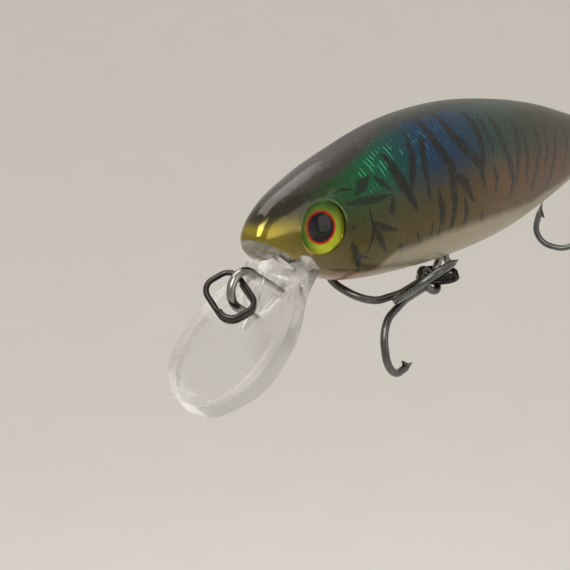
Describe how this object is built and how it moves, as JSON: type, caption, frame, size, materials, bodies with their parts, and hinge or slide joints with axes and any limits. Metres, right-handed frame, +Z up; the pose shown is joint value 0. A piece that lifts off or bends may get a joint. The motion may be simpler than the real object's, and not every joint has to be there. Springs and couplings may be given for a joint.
{
  "type": "crankbait lure",
  "caption": "Hollow minnow-shaped diving lure with a clear lip, a wire line tie with an oval ring, and treble hooks on split rings.",
  "frame": {"origin": "middle of the line tie's wire eye at the nose", "axes": "-X is the way the nose points and the lure is pulled, +X runs to the tail, +Z is up towards the back, and Y is across the body, whose two shells meet on Y = 0; -Y is the lure's left side"},
  "size_m": [0.0924, 0.0172, 0.0291],
  "materials": {
    "painted_body": "gloss paint over foil, clear coated",
    "clear_plastic": "clear polished polycarbonate",
    "eye_foil": "printed foil",
    "eye_resin": "clear gloss resin",
    "steel_wire": "bright drawn wire",
    "dark_ring": "black nickel plating",
    "black_ring": "black nickel plating",
    "hook_nickel": "dark nickel plating",
    "ballast_metal": "plain cast",
    "inner_plastic": "translucent moulding",
    "magnet": "nickel plated",
    "weight_steel": "ground steel"
  },
  "bodies": {
    "lure_body": {"body_shell_left": "painted_body", "body_shell_right": "painted_body", "diving_lip": "clear_plastic", "left_eye_disc": "eye_foil", "right_eye_disc": "eye_foil", "left_eye_lens": "eye_resin", "right_eye_lens": "eye_resin", "line_tie_wire": "steel_wire", "belly_hanger_wire": "steel_wire", "tail_hanger_wire": "steel_wire", "belly_ballast": "ballast_metal", "weight_tube": "inner_plastic", "keeper_magnet": "magnet", "rattle_tube": "inner_plastic"},
    "line_ring": {"line_ring": "dark_ring"},
    "belly_ring": {"belly_split_ring": "black_ring"},
    "belly_treble": {"belly_treble_double": "hook_nickel", "belly_treble_single": "hook_nickel"},
    "tail_ring": {"tail_split_ring": "black_ring"},
    "tail_treble": {"tail_treble_double": "hook_nickel", "tail_treble_single": "hook_nickel"},
    "transfer_weight": {"transfer_weight": "weight_steel"},
    "rattle_ball": {"rattle_ball": "weight_steel"}
  },
  "joints": [
    {"name": "line_ring_swing", "type": "hinge", "parent": "lure_body", "child": "line_ring", "pos_m": [0, 0, 0], "axis": [0, 1, 0], "range_deg": [-25, 55]},
    {"name": "belly_ring_swing", "type": "hinge", "parent": "lure_body", "child": "belly_ring", "pos_m": [0.03445, 0, -0.0054], "axis": [0, 1, 0], "range_deg": [-120, 0]},
    {"name": "belly_treble_swing", "type": "hinge", "parent": "belly_ring", "child": "belly_treble", "pos_m": [0.032, -0.0009, -0.0054], "axis": [0, 0, 1], "range_deg": [-20, 2]},
    {"name": "tail_ring_swing", "type": "hinge", "parent": "lure_body", "child": "tail_ring", "pos_m": [0.0824, 0, 0.0051], "axis": [0, 1, 0], "range_deg": [-110, 12]},
    {"name": "tail_treble_swing", "type": "hinge", "parent": "tail_ring", "child": "tail_treble", "pos_m": [0.081, 0, 0.00268], "axis": [-0.866, 0, 0.5], "range_deg": [-35, 35]},
    {"name": "transfer_weight_slide", "type": "slide", "parent": "lure_body", "child": "transfer_weight", "axis": [1, 0, 0], "range_m": [0, 0.0198]},
    {"name": "rattle_ball_slide", "type": "slide", "parent": "lure_body", "child": "rattle_ball", "axis": [1, 0, 0], "range_m": [0, 0.0062]}
  ]
}
